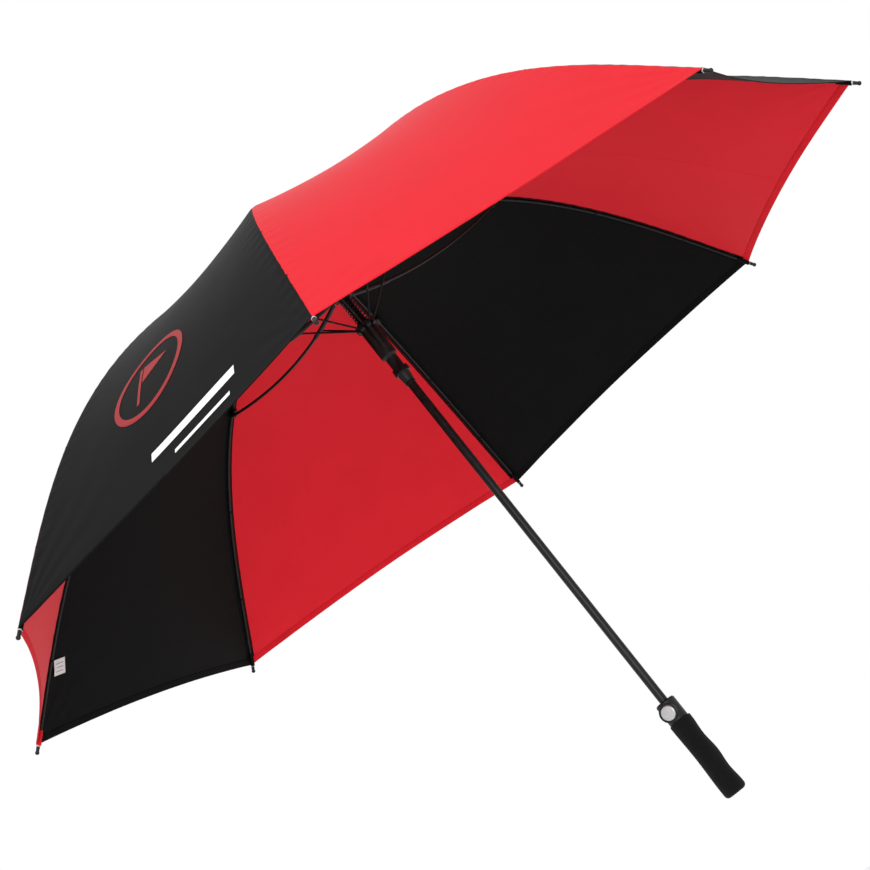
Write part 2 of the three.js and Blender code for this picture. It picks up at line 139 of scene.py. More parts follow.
# %% [markdown]
# ## Shaders written as sums
#
# A surface pattern is arithmetic on coordinates, so it reads best as Python arithmetic. `Wire` holds
# one output socket and lets +, - and * add the Math nodes. `Finish` is a material: its one method
# `node` adds any other node, settings first and then the values or links of its inputs. Numbers that
# are the same everywhere go straight onto the shader.

# %% Two small helpers for materials


class Wire:
    """One node's output, ready to be used in an expression."""

    def __init__(self, finish, socket):
        self.finish = finish
        self.socket = socket

    def __add__(self, other):
        return self.finish.math("ADD", self, other)

    def __sub__(self, other):
        return self.finish.math("SUBTRACT", self, other)

    def __rsub__(self, other):
        return self.finish.math("SUBTRACT", other, self)

    def __mul__(self, other):
        return self.finish.math("MULTIPLY", self, other)

    __radd__ = __add__
    __rmul__ = __mul__


class Finish:
    """A material with one Principled shader."""

    def __init__(self, name, **constants):
        self.material = bpy.data.materials.new(name)
        self.material.use_nodes = True
        self.tree = self.material.node_tree
        self.shader = self.tree.nodes["Principled BSDF"]
        for socket, value in constants.items():
            self.shader.inputs[socket.replace("_", " ")].default_value = value

    def feed(self, socket, value):
        if isinstance(value, Wire):
            self.tree.links.new(value.socket, socket)
        else:
            socket.default_value = value

    def node(self, kind, inputs, output=0, **settings):
        """Adds a node, sets it up, feeds its inputs and returns one of its outputs."""
        node = self.tree.nodes.new(kind)
        for setting, value in settings.items():
            setattr(node, setting, value)
        for name, value in inputs.items():
            self.feed(node.inputs[name], value)
        return Wire(self, node.outputs[output])

    def math(self, operation, *values):
        return self.node("ShaderNodeMath", dict(enumerate(values)), operation=operation)

    def mix(self, factor, low, high):
        """A colour between two colours."""
        inputs = {0: factor, 6: low, 7: high}
        return self.node("ShaderNodeMix", inputs, output=2, data_type="RGBA")

    def parts(self, vector):
        """The three numbers of a vector."""
        first = self.node("ShaderNodeSeparateXYZ", {0: vector})
        return [Wire(self, socket) for socket in first.socket.node.outputs]

    def where(self, centre=(0, 0, 0), turn=(0, 0, 0), stretch=(1, 1, 1)):
        """Object coordinates, centred, turned and stretched by a Mapping node."""
        place = self.node("ShaderNodeTexCoord", {}, output="Object")
        moved = self.node("ShaderNodeMapping", {"Vector": place, "Location": centre, "Rotation": turn},
                          vector_type="TEXTURE")
        return self.node("ShaderNodeVectorMath", {0: moved, 1: stretch}, operation="MULTIPLY")

    def cloud(self, where, scale, detail=3.0, roughness=0.55):
        """Soft noise from 0 to 1 with about `scale` blobs to the metre."""
        inputs = {"Vector": where, "Scale": scale, "Detail": detail, "Roughness": roughness}
        return self.node("ShaderNodeTexNoise", inputs)

    def window(self, value, low, high):
        """0 below low, 1 above high and smooth between."""
        inputs = {"Value": value, "From Min": low, "From Max": high}
        return self.node("ShaderNodeMapRange", inputs, interpolation_type="SMOOTHSTEP")

    def paint(self, colour=None, roughness=None, height=None, depth=0.0001, strength=1.0):
        """Links what varies over the surface to the shader."""
        if colour is not None:
            self.feed(self.shader.inputs["Base Color"], colour)
        if roughness is not None:
            self.feed(self.shader.inputs["Roughness"], roughness)
        if height is not None:
            inputs = {"Height": height, "Distance": depth, "Strength": strength}
            self.feed(self.shader.inputs["Normal"], self.node("ShaderNodeBump", inputs))
        return self.material


def ink(red, green, blue):
    """A colour picked on a screen, 0 to 255 a channel, in the shader's linear units."""
    channels = [value / 255 for value in (red, green, blue)]
    linear = [c / 12.92 if c <= 0.04045 else ((c + 0.055) / 1.055) ** 2.4 for c in channels]
    return (*linear, 1)


# %% [markdown]
# ## Canopy cloth
#
# The canopy is pongee: a close plain weave of polyester with a faint silky sheen and a water-shedding
# coat. Its threads run across and along each panel, so the weave is drawn in the panel's own flat
# measure, the UV map `cloth`, which is in metres. Two crossed waves make the threads; slow noise makes
# the cloth slightly uneven in tone and gloss, as dye and coating are.

# %% Red and black cloth
thread_pitch = 0.0007


def pongee(name, colour, shadow, gloss, silk):
    cloth = Finish(name, Sheen_Weight=silk, Sheen_Roughness=0.35, Specular_IOR_Level=gloss)
    flat = cloth.node("ShaderNodeUVMap", {}, uv_map="cloth")
    across, along, _ = cloth.parts(flat)
    turns = 2 * math.pi / thread_pitch
    warp = cloth.math("SINE", across * turns)
    weft = cloth.math("SINE", along * turns)
    weave = warp * weft * 0.5 + 0.5
    slubs = cloth.cloud(cloth.node("ShaderNodeVectorMath", {0: flat, 1: (900, 60, 1)},
                                   operation="MULTIPLY"), 1.0, detail=2.0)
    dye = cloth.cloud(flat, 14.0, detail=4.0)
    shade = weave * 0.14 + slubs * 0.2 + dye * 0.35
    tone = cloth.mix(cloth.window(shade, 0.1, 0.62), shadow, colour)
    roughness = 0.56 + 0.12 * dye - 0.05 * weave
    return cloth.paint(tone, roughness, weave * 0.7 + slubs * 0.6, depth=0.00006, strength=0.5)


red_cloth = pongee("red pongee", ink(216, 38, 49), ink(204, 31, 42), 0.05, 0.07)
black_cloth = pongee("black pongee", ink(19, 19, 19), ink(14, 14, 14), 0.03, 0.03)
print("cloth with", round(0.01 / thread_pitch), "thread pairs to the centimetre")

# %% [markdown]
# ## Rods, mouldings and metal
#
# The ribs and stretchers are pultruded glass fibre, dyed black, with fine lengthwise streaks under a
# satin skin. The shaft is a wound and wrapped tube of the same fibre, with a mottled sheen. Runners,
# hub, ferrule and handle housing are moulded nylon with a fine spark-eroded grain. The struts and the
# springs are dark wire, and the button is satin-plated with a turned finish round its own centre.

# %% The hard finishes


def streaked_fibre(name, streak_stretch):
    fibre = Finish(name, Coat_Weight=0.12, Coat_Roughness=0.22, Specular_IOR_Level=0.2)
    streaks = fibre.cloud(fibre.where(stretch=streak_stretch), 1.0, detail=4.0)
    mottle = fibre.cloud(fibre.where(), 160.0, detail=3.0)
    tone = fibre.mix(fibre.window(streaks * 0.6 + mottle * 0.4, 0.35, 0.7),
                     ink(6, 6, 7), ink(27, 27, 28))
    return fibre.paint(tone, 0.3 + 0.2 * mottle, streaks + mottle * 0.5, depth=0.00008, strength=0.4)


def moulded_nylon():
    nylon = Finish("moulded nylon", Specular_IOR_Level=0.3)
    grain = nylon.cloud(nylon.where(), 2600.0, detail=2.0)
    wear = nylon.cloud(nylon.where(), 90.0, detail=4.0)
    tone = nylon.mix(nylon.window(wear, 0.45, 0.75), ink(12, 12, 13), ink(24, 24, 25))
    return nylon.paint(tone, 0.36 + 0.2 * wear, grain, depth=0.00005, strength=0.35)


def dark_wire(name, colour, metal, roughness):
    wire = Finish(name, Metallic=metal, Specular_IOR_Level=0.2)
    scale = wire.cloud(wire.where(), 700.0, detail=3.0)
    rubbed = wire.cloud(wire.where(), 120.0, detail=3.0)
    tone = wire.mix(wire.window(rubbed, 0.55, 0.85), colour, ink(58, 58, 60))
    return wire.paint(tone, roughness + 0.15 * scale, scale, depth=0.00003, strength=0.3)


def grip_foam():
    foam = Finish("grip foam", Specular_IOR_Level=0.08, Sheen_Weight=0.04, Sheen_Roughness=0.6)
    cells = foam.node("ShaderNodeTexVoronoi", {"Vector": foam.where(), "Scale": 1500.0})
    patches = foam.cloud(foam.where(), 60.0, detail=4.0)
    pores = foam.window(cells * 0.5 + patches * 0.5, 0.2, 0.75)
    tone = foam.mix(pores, ink(8, 8, 8), ink(20, 20, 21))
    return foam.paint(tone, 0.8 + 0.15 * patches, 1 - cells, depth=0.0002, strength=0.6)


def woven_tape(name, colour, shadow):
    tape = Finish(name, Specular_IOR_Level=0.25)
    flat = tape.node("ShaderNodeUVMap", {}, uv_map="cloth")
    bars = tape.node("ShaderNodeTexWave", {"Vector": flat, "Scale": 260.0, "Distortion": 0.4})
    fuzz = tape.cloud(flat, 700.0)
    tone = tape.mix(bars * 0.6 + fuzz * 0.4, shadow, colour)
    return tape.paint(tone, 0.75 + 0.15 * fuzz, bars + fuzz * 0.4, depth=0.0001, strength=0.5)


def printed_paint(name, colour, thin):
    paint = Finish(name, Specular_IOR_Level=0.3)
    flat = paint.node("ShaderNodeUVMap", {}, uv_map="cloth")
    speckle = paint.cloud(flat, 900.0, detail=2.0)
    tone = paint.mix(paint.window(speckle, 0.3, 0.5), thin, colour)
    return paint.paint(tone, 0.5 + 0.2 * speckle, speckle, depth=0.00004, strength=0.4)


rib_fibre = streaked_fibre("rib fibre", (600, 600, 600))
shaft_fibre = streaked_fibre("shaft fibre", (900, 900, 26))
nylon = moulded_nylon()
black_wire = dark_wire("black wire", ink(10, 10, 11), 0.1, 0.42)
spring_wire = dark_wire("spring steel", ink(26, 26, 28), 0.75, 0.3)
foam = grip_foam()
sewing_thread = dark_wire("sewing thread", ink(15, 15, 16), 0.0, 0.8)
red_thread = dark_wire("red sewing thread", ink(176, 26, 36), 0.0, 0.7)
label_tape = woven_tape("label tape", ink(222, 222, 220), ink(196, 196, 194))
strap_tape = woven_tape("strap tape", ink(30, 30, 32), ink(17, 17, 18))
red_print = printed_paint("red print", ink(150, 24, 30), ink(120, 20, 26))
white_print = printed_paint("white print", ink(236, 236, 236), ink(205, 205, 205))
floor_paper = Finish("floor paper", Specular_IOR_Level=0.1)
paper_cloud = floor_paper.cloud(floor_paper.where(), 3.0)
paper_tone = floor_paper.mix(paper_cloud, ink(238, 238, 238), ink(246, 246, 246))
floor.data.materials.append(floor_paper.paint(paper_tone, 0.9))
print(len(bpy.data.materials), "materials so far")

# %% [markdown]
# ## From bmesh to a finished piece
#
# Every new piece ends the same way: its mesh is tidied, turned into an object that stays at the
# origin, shaded smooth except at real edges, and told which body of the frame it moves with and
# which plain solid it replaces. One function does all of that.


def finish_piece(name, bm, material, body, slot, nodes, smooth_angle=35, outward=True, thickness=0):
    """Turns a bmesh into a piece that rides on a body and stands for CAD nodes."""
    if outward:
        bmesh.ops.recalc_face_normals(bm, faces=bm.faces)
    if thickness:
        bmesh.ops.solidify(bm, geom=bm.faces[:], thickness=thickness)
        if bm.calc_volume(signed=True) < 0:
            bmesh.ops.reverse_faces(bm, faces=bm.faces)
    mesh = bpy.data.meshes.new(name)
    bm.to_mesh(mesh)
    bm.free()
    mesh.materials.append(material)
    mesh.shade_smooth()
    mesh.set_sharp_from_angle(angle=math.radians(smooth_angle))
    piece = bpy.data.objects.new(name, mesh)
    scene.collection.objects.link(piece)
    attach(piece, body)
    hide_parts(*nodes)
    return piece


# %% [markdown]
# ## The cut of a panel
#
# Between two ribs the cloth is a long triangle, pulled tight. Each seam follows the rib's bow, flat at
# the crown and steep at the rim. Between the seams the taut cloth takes the short way, so it dips
# inwards by a few millimetres, a little more towards the rim, and its hem is cut in a shallow hollow
# so that it stays tight. The same few lengths that shape the frame's solids shape the cloth.

# %% The surface of the canopy
rib_count = 8
rib_angle = 2 * math.pi / rib_count
span = 0.650
corner_radius = 0.985 * span
crown_hole = 0.009
crown_height = 0.859
drop = 0.297
curl = 2.64
tuck = 0.173
tuck_power = 6
belly = 0.025
hem_dip = 0.009
scallop = 0.014
cloth_thickness = 0.0005
panel_length = 0.741
seam_groove = 0.0007
seam_groove_reach = 0.0016


def seam_height(r):
    share = r / span
    return crown_height - drop * share ** curl - tuck * share ** tuck_power * (1 - share)


def seam_slope(r):
    share = r / span
    bend = tuck_power * share ** (tuck_power - 1) - (tuck_power + 1) * share ** tuck_power
    return -(drop * curl * share ** (curl - 1) + tuck * bend) / span


def seam_normal(r):
    """The seam's outward direction in the rib's own upright plane, as (radial, up)."""
    slope = seam_slope(r)
    length = math.hypot(1, slope)
    return -slope / length, 1 / length


def at_azimuth(point, azimuth):
    return Matrix.Rotation(azimuth, 3, "Z") @ Vector(point)


def beside_seam(r, offset, rib=1, side=0.0):
    """A point in the plane of a rib, an offset outwards from the seam, and to one side of it."""
    radial, up = seam_normal(r)
    point = (r + offset * radial, side, seam_height(r) + offset * up)
    return at_azimuth(point, (rib - 1) * rib_angle)


def radius_at(along):
    return crown_hole + (corner_radius - crown_hole) * along


def half_width(along):
    return radius_at(along) * math.sin(rib_angle / 2)


# %% [markdown]
# Nothing sewn is perfectly even. Near each rib tip fine pulls fan out into the cloth, the seams
# pucker a little between their stitches, and the whole panel has a slow unevenness. These are small
# moves along the cloth's own normal, made by smooth noise so that they never repeat exactly. The odd
# factors of the panel's number only start the noise in a new place on each panel.

# %% Pulls, puckers and unevenness
pull_height = 0.0005
pull_reach = 0.085
pull_count = 15
pull_start = 0.03
pull_edge = 0.008
pucker_height = 0.00022
pucker_width = 0.007
pucker_pitch = 0.019
slow_height = 0.0016
slow_size = 0.16


def unevenness(panel, along, across):
    """How far the cloth stands proud of its ideal surface, in metres."""
    half = half_width(along)
    beside = (1 - abs(across)) * half
    before_hem = (1 - along) * panel_length
    reach = math.hypot(beside, before_hem)
    angle = math.atan2(beside, before_hem)
    corner = panel * 2.3 + (1.7 if across > 0 else 0.0)
    fan = math.sin(angle * pull_count + corner + 2 * noise.noise(Vector((corner, reach * 20, 0))))
    fade = math.exp(-reach / pull_reach) * min(1, reach / pull_start) * min(1, beside / pull_edge)
    fade *= min(1, 3 * abs(across))
    pulls = pull_height * fan * fade
    along_seam = along * panel_length / pucker_pitch
    wander = noise.noise(Vector((along_seam * 0.6, corner, 1)))
    edge = beside / pucker_width
    wave = math.sin(2 * math.pi * along_seam + 4 * wander)
    puckers = pucker_height * edge * math.exp(1 - edge) * wave
    spot = Vector((across * half / slow_size, along * panel_length / slow_size, panel * 3.1))
    slow = slow_height * (1 - across ** 2) * noise.noise(spot)
    groove = -seam_groove * math.exp(-((beside / seam_groove_reach) ** 2))
    return pulls + puckers + slow + groove


def on_panel(panel, along, across, offset=0.0):
    """A point of the cloth. along runs from the crown to the hem, across from -1 to 1."""
    r = radius_at(along)
    radial, up = seam_normal(r)
    sag = 1 - across ** 2
    dip = sag * (hem_dip * along + belly * along * (1 - along) ** 2)
    rise = sag * scallop * along ** 4
    out = offset - dip + unevenness(panel, along, across)
    x = r * math.cos(rib_angle / 2) + out * radial - rise * up
    y = across * r * math.sin(rib_angle / 2)
    z = seam_height(r) + out * up + rise * radial
    return at_azimuth((x, y, z), (panel - 0.5) * rib_angle)


print("a seam is about", round(panel_length * 1000), "mm long and a hem",
      round(2 * half_width(1) * 1000), "mm wide")

# %% [markdown]
# ## Half panels
#
# When the umbrella closes, the cloth between two ribs folds up. So each panel is made as two halves
# that meet along its middle: each half stays with its own rib. Open, the halves lie on one surface
# and show no joint. A grid is the natural start for cloth: its corners go to the crown, the rim, the
# middle and the seam, and its columns crowd together at the seam, where the puckers are, and at the
# middle, where the halves meet. The flat measure of every point is kept in the UV map `cloth`, so
# that threads and prints follow the cloth.

# %% Sew the sixteen half panels
cloth_columns = 36
cloth_rows = 170
column_crowding = 0.11
middle_lap = 0.0008
cloth_angle = 60
slots_by_colour = {"red": "red_fabric", "black": "black_fabric"}


def panel_colour(panel):
    return "red" if panel % 2 == 1 else "black"


def cloth_of(colour):
    return red_cloth if colour == "red" else black_cloth


def rib_beside(panel, side):
    """The number of the rib on one side of a panel: -1 for its own rib and 1 for the next."""
    return panel if side < 0 else panel % rib_count + 1


def gather(piece, rib):
    """Gives a piece of cloth its own copy of its mesh."""
    across_rib = at_azimuth((0, 1, 0), (rib - 1) * rib_angle)
    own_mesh(piece)


def sewn_piece(name, panel, side, bm, material, slot, node=None, **finish):
    """Finishes a piece of cloth that belongs to one half of a panel and moves with its rib."""
    rib = rib_beside(panel, side)
    nodes = [node or f"canopy_panel_{panel}"]
    piece = finish_piece(name, bm, material, f"rib_{rib}", slot, nodes, **finish)
    gather(piece, rib)
    return piece


def half_name(kind, panel, side):
    return f"{kind}_{panel}_beside_rib_{rib_beside(panel, side)}"


def spread(columns, rows, place, flat):
    """An open grid of cloth: place gives each point, flat its UV, both from 0..1 coordinates."""
    bm = bmesh.new()
    uv = bm.loops.layers.uv.new("cloth")
    bmesh.ops.create_grid(bm, x_segments=columns, y_segments=rows, size=0.5)
    for face in bm.faces:
        for corner in face.loops:
            corner[uv].uv = flat(corner.vert.co.x + 0.5, corner.vert.co.y + 0.5)
    for vert in bm.verts:
        vert.co = place(vert.co.x + 0.5, vert.co.y + 0.5)
    return bm


def share_across(u, side):
    """Column position to place across the panel, finer at both edges, lapping the middle a hair."""
    share = u - column_crowding * math.sin(2 * math.pi * u)
    return side * (share * (1 + middle_lap) - middle_lap)


def sew_half_panel(panel, side):
    def place(u, v):
        return on_panel(panel, v, share_across(u, side))

    def flat(u, v):
        return share_across(u, side) * half_width(v), v * panel_length

    colour = panel_colour(panel)
    bm = spread(cloth_columns, cloth_rows, place, flat)
    if side > 0:
        bmesh.ops.reverse_faces(bm, faces=bm.faces)
    return sewn_piece(half_name("panel", panel, side), panel, side, bm, cloth_of(colour),
                      slots_by_colour[colour], smooth_angle=cloth_angle, outward=False,
                      thickness=cloth_thickness)


half_panels = {}
for panel in range(1, rib_count + 1):
    for side in (-1, 1):
        half_panels[panel, side] = sew_half_panel(panel, side)
facing = half_panels[1, 1].data.polygons[0].normal
print(len(half_panels), "half panels, whose outer faces look", [round(n, 2) for n in facing])

# %% [markdown]
# ## Hems and seam allowances
#
# Along the rim the cloth is turned in twice and stitched, which makes a narrow double band. At each
# rib the two neighbouring panels are sewn together, and the spare edge of both lies inside as a dark
# strip over the rib. Both are flat bands with rounded edges, so one helper rolls a grid into a
# closed tube whose section is a flattened ring, and closes its ends.

# %% A helper for flat bands, and the hems and allowances
hem_width = 0.0088
hem_edge = 0.0004
hem_thickness = 0.0009
hem_drop = 0.0008
allowance_width = 0.0072
allowance_thickness = 0.0007
allowance_drop = 0.00075
allowance_from = 0.03
allowance_share = 0.965
band_flatness = 0.55


def rolled(around, rows, place):
    """A closed tube: place gives each point from a turn, 0 to 2 pi, and a share of its length."""
    bm = bmesh.new()
    bmesh.ops.create_grid(bm, x_segments=around, y_segments=rows, size=0.5)
    for vert in bm.verts:
        vert.co = place((vert.co.x + 0.5) * 2 * math.pi, vert.co.y + 0.5)
    bmesh.ops.remove_doubles(bm, verts=bm.verts, dist=1e-7)
    rim = [edge for edge in bm.edges if edge.is_boundary]
    bmesh.ops.holes_fill(bm, edges=rim, sides=around)
    return bm


def flattened(turn, half_width_of_band, half_height):
    """A point of a flat section with rounded edges, as (along the band's width, along its height)."""
    def soft(value, size):
        return math.copysign(abs(value) ** band_flatness, value) * size
    return soft(math.cos(turn), half_width_of_band), soft(math.sin(turn), half_height)


def turn_hem(panel, side):
    def place(turn, share):
        wide, high = flattened(turn, hem_width / 2, hem_thickness / 2)
        inward = hem_width / 2 - hem_edge + wide
        across = share_across(share, side)
        return on_panel(panel, 1 - inward / panel_length, across, high - hem_drop)

    colour = panel_colour(panel)
    bm = rolled(12, 48, place)
    return sewn_piece(half_name("hem", panel, side), panel, side, bm, hem_cloth[colour],
                      slots_by_colour[colour])


def lay_allowance(panel, side):
    def place(turn, share):
        along = allowance_from + allowance_share * share
        wide, high = flattened(turn, allowance_width / 2, allowance_thickness / 2)
        beside = allowance_width / 2 + wide
        across = side * (1 - beside / half_width(along))
        return on_panel(panel, along, across, high - allowance_drop)

    bm = rolled(10, 120, place)
    return sewn_piece(half_name("seam_allowance", panel, side), panel, side, bm, hem_cloth["black"],
                      "black_fabric")


def folded_cloth(name, colour, shadow):
    """The same cloth turned double, where its UV map has no place: the weave is left to noise."""
    cloth = Finish(name, Sheen_Weight=0.02, Sheen_Roughness=0.35, Specular_IOR_Level=0.03)
    thread = cloth.cloud(cloth.where(), 900.0, detail=3.0)
    dye = cloth.cloud(cloth.where(), 20.0, detail=4.0)
    tone = cloth.mix(cloth.window(thread * 0.5 + dye * 0.5, 0.3, 0.6), shadow, colour)
    return cloth.paint(tone, 0.58 + 0.12 * dye, thread, depth=0.00008, strength=0.5)


hem_cloth = {
    "red": folded_cloth("turned red cloth", ink(208, 31, 42), ink(192, 24, 35)),
    "black": folded_cloth("turned black cloth", ink(14, 14, 14), ink(9, 9, 9)),
}
hems = {key: turn_hem(*key) for key in half_panels}
allowances = {key: lay_allowance(*key) for key in half_panels}
print(len(hems), "hems and", len(allowances), "seam allowances")

# %% [markdown]
# ## Stitches
#
# Every seam and hem is held by a row of lockstitches, one every four millimetres. Each stitch is a
# small stretched ball, set into the cloth so that only its back shows. It needs few faces, because
# there are thousands.

# %% Stitch the hems and seams
stitch_pitch = 0.004
stitch_length = 0.0029
stitch_radius = 0.00034
stitch_line = 0.0070
seam_stitch_line = 0.0050
seam_stitched_from = 0.04
seam_stitched_share = 0.94
stitch_sides, stitch_bands = 6, 4
stitch_proud = 0.6 * stitch_radius


def add_stitch(bm, start, end, thickness):
    middle = (start + end) / 2
    turn = (end - start).to_track_quat("X", "Z").to_matrix().to_4x4()
    size = Matrix.Diagonal((stitch_length / 2, stitch_radius, thickness, 1))
    place = Matrix.Translation(middle) @ turn @ size
    bmesh.ops.create_uvsphere(bm, u_segments=stitch_sides, v_segments=stitch_bands, radius=1,
                              matrix=place)


def stitch_half(panel, side):
    bm = bmesh.new()
    hem_stitches = int(half_width(1) / stitch_pitch)
    hem_along = 1 - stitch_line / panel_length
    shares = [(i + 0.5) / hem_stitches for i in range(hem_stitches)]
    line = [on_panel(panel, hem_along, side * share, -hem_drop) for share in shares]
    for start, end in zip(line, line[1:]):
        add_stitch(bm, start, end, hem_thickness / 2 + stitch_proud)
    seam_stitches = int(seam_stitched_share * panel_length / stitch_pitch)
    line = []
    for i in range(seam_stitches):
        along = seam_stitched_from + seam_stitched_share * i / seam_stitches
        across = side * (1 - seam_stitch_line / half_width(along))
        line.append(on_panel(panel, along, across, -allowance_drop))
    for start, end in zip(line, line[1:]):
        add_stitch(bm, start, end, allowance_thickness / 2 + stitch_proud)
    colour = panel_colour(panel)
    thread = red_thread if colour == "red" else sewing_thread
    return sewn_piece(half_name("stitches", panel, side), panel, side, bm, thread,
                      slots_by_colour[colour], outward=False)


stitches = {key: stitch_half(*key) for key in half_panels}
stitch_faces = sum(len(row.data.polygons) for row in stitches.values())
print(stitch_faces // (stitch_sides * stitch_bands), "stitches")

# %% [markdown]
# ## Ribs
#
# Eight glass fibre rods carry the cloth. Each is hinged to the crown hub by a small eye, bows under
# the seam at a fixed depth below the cloth, and tapers slightly to its tip. A rod is a circle swept
# along a path, so a helper walks along a list of points, carries a pair of side directions with it
# and rolls a grid round the way.

# %% A helper for rods, and the eight ribs
rib_radius = 0.0020
rib_end_radius = 0.0017
below_cloth = 0.0033
rib_start = 0.0109
rib_end = 0.6395
rib_rows = 80
rod_sides = 14
hinge_eye = (0.0021, 0.0024)
hinge_radius = 0.013
hinge_height = 0.8557


def swept(points, radii, around=12):
    """A closed rod along a list of points with a radius at each."""
    last = len(points) - 1
    ways = []
    for i in range(last + 1):
        ways.append((points[min(i + 1, last)] - points[max(i - 1, 0)]).normalized())
    side = ways[0].orthogonal().normalized()
    frames = []
    for way in ways:
        side = (side - side.dot(way) * way).normalized()
        frames.append((side, way.cross(side)))

    def place(turn, share):
        row = round(share * last)
        right, up = frames[row]
        return points[row] + radii[row] * (math.cos(turn) * right + math.sin(turn) * up)

    return rolled(around, last, place)


def steps(count):
    """Shares from 0 to 1 in equal steps."""
    return [i / count for i in range(count + 1)]


def merge(target, extra):
    """Adds one bmesh to another."""
    mesh = bpy.data.meshes.new("passing")
    extra.to_mesh(mesh)
    extra.free()
    target.from_mesh(mesh)
    bpy.data.meshes.remove(mesh)
    return target


def soften(bm, width, least_angle=25, segments=2):
    """Rounds every edge where the surface turns by more than an angle in degrees."""
    sharp = [edge for edge in bm.edges if edge.calc_face_angle(0) > math.radians(least_angle)]
    bmesh.ops.bevel(bm, geom=sharp, offset=width, segments=segments, profile=0.5, affect="EDGES",
                    material=-1)
    return bm


def pin(centre, azimuth, half_length, radius):
    """A short round pin with softened rims, lying across a rib's plane."""
    turn = Matrix.Rotation(azimuth, 4, "Z") @ Matrix.Rotation(math.pi / 2, 4, "X")
    bm = bmesh.new()
    bmesh.ops.create_cone(bm, cap_ends=True, segments=20, radius1=radius, radius2=radius,
                          depth=2 * half_length, matrix=Matrix.Translation(centre) @ turn)
    return soften(bm, radius * 0.25, 60)


def make_rib(rib):
    azimuth = (rib - 1) * rib_angle
    radii = [rib_start + (rib_end - rib_start) * s for s in steps(rib_rows)]
    path = [beside_seam(r, -below_cloth, rib) for r in radii]
    sizes = [rib_radius + (rib_end_radius - rib_radius) * s for s in steps(rib_rows)]
    bm = swept(path, sizes, rod_sides)
    hinge = at_azimuth((hinge_radius, 0, hinge_height), azimuth)
    merge(bm, pin(hinge, azimuth, *hinge_eye))
    return finish_piece(f"rib_rod_{rib}", bm, rib_fibre, f"rib_{rib}", "fibreglass", [f"rib_{rib}"])


ribs = [make_rib(rib) for rib in range(1, rib_count + 1)]
print(len(ribs), "ribs of", len(ribs[0].data.polygons), "faces")

# %% [markdown]
# ## What sits on a rib
#
# Halfway out, a moulded clip holds the end of the stretcher. The cloth is tied to the rod by a few
# turns of thread at three places, so that it can't slide. At the rim, the panel corners end in a
# small sewn pocket over the rod, then a bright ring and a slim black cap finish the rib. Ring and cap
# are turned shapes: half an outline, spun a full turn round its axis.

# %% Clips, ties, pockets and tips
clip_at = 0.318
clip_size = Vector((0.013, 0.006, 0.007))
clip_top = 0.0004
clip_rounding = 0.0011
tie_places = (0.17, 0.46, 0.565)
tie_turns = 4
tie_steps = 14
tie_reach = (0.0024, 0.0026)
tie_width = 0.0028
tie_thread = 0.00035
pocket_from = 0.627
pocket_to = 0.6405
pocket_drop = -0.0038
pocket_half_width = 0.0031
pocket_half_height = 0.0019
pocket_crease = 0.0002
red_pocket_rib = 7
ring_start, ring_length = 0.0006, 0.0022
ring_bore, ring_radius = 0.0018, 0.0027
cap_length = 0.0130
tip_sides = 24


def rib_directions(r, rib):
    """Outwards along the rod, across it, and away from the shaft side of the cloth."""
    radial, up = seam_normal(r)
    azimuth = (rib - 1) * rib_angle
    return at_azimuth((up, 0, -radial), azimuth), at_azimuth((0, 1, 0), azimuth), \
        at_azimuth((radial, 0, up), azimuth)


def axes(centre, *directions):
    """A matrix whose columns are three directions and whose place is a point."""
    matrix = Matrix(directions).transposed().to_4x4()
    matrix.translation = centre
    return matrix


def lathe(outline, matrix=Matrix(), segments=48, closed=False):
    """Spins an outline of (radius, height) points round Z and then puts the shape in place."""
    bm = bmesh.new()
    verts = [bm.verts.new((radius, 0, height)) for radius, height in outline]
    ends = verts[1:] + (verts[:1] if closed else [])
    edges = [bm.edges.new(pair) for pair in zip(verts, ends)]
    bmesh.ops.spin(bm, geom=verts + edges, cent=(0, 0, 0), axis=(0, 0, 1), dvec=(0, 0, 0),
                   angle=2 * math.pi, steps=segments, use_merge=True, use_duplicate=False)
    bmesh.ops.remove_doubles(bm, verts=bm.verts, dist=1e-6)
    bmesh.ops.transform(bm, matrix=matrix, verts=bm.verts)
    return bm


def make_clip(rib):
    centre = beside_seam(clip_at, -below_cloth + clip_top - clip_size.z / 2, rib)
    bm = bmesh.new()
    place = axes(centre, *rib_directions(clip_at, rib)) @ Matrix.Diagonal((*clip_size, 1))
    bmesh.ops.create_cube(bm, size=1, matrix=place)
    bmesh.ops.bevel(bm, geom=bm.edges[:], offset=clip_rounding, segments=3, profile=0.5, affect="EDGES",
                    material=-1)
    return finish_piece(f"stretcher_clip_{rib}", bm, nylon, f"rib_{rib}", "black_plastic",
                        [f"rib_{rib}"])


def make_ties(rib):
    bm = bmesh.new()
    for r in tie_places:
        out, across, up = rib_directions(r, rib)
        centre = beside_seam(r, -below_cloth, rib)
        path = []
        for share in steps(tie_turns * tie_steps):
            turn = share * tie_turns * 2 * math.pi
            way = across * math.cos(turn) * tie_reach[0] + up * math.sin(turn) * tie_reach[1]
            path.append(centre + way + out * (share - 0.5) * tie_width)
        merge(bm, swept(path, [tie_thread] * len(path), 6))
    return finish_piece(f"thread_ties_{rib}", bm, sewing_thread, f"rib_{rib}", "black_fabric",
                        [f"rib_{rib}"])


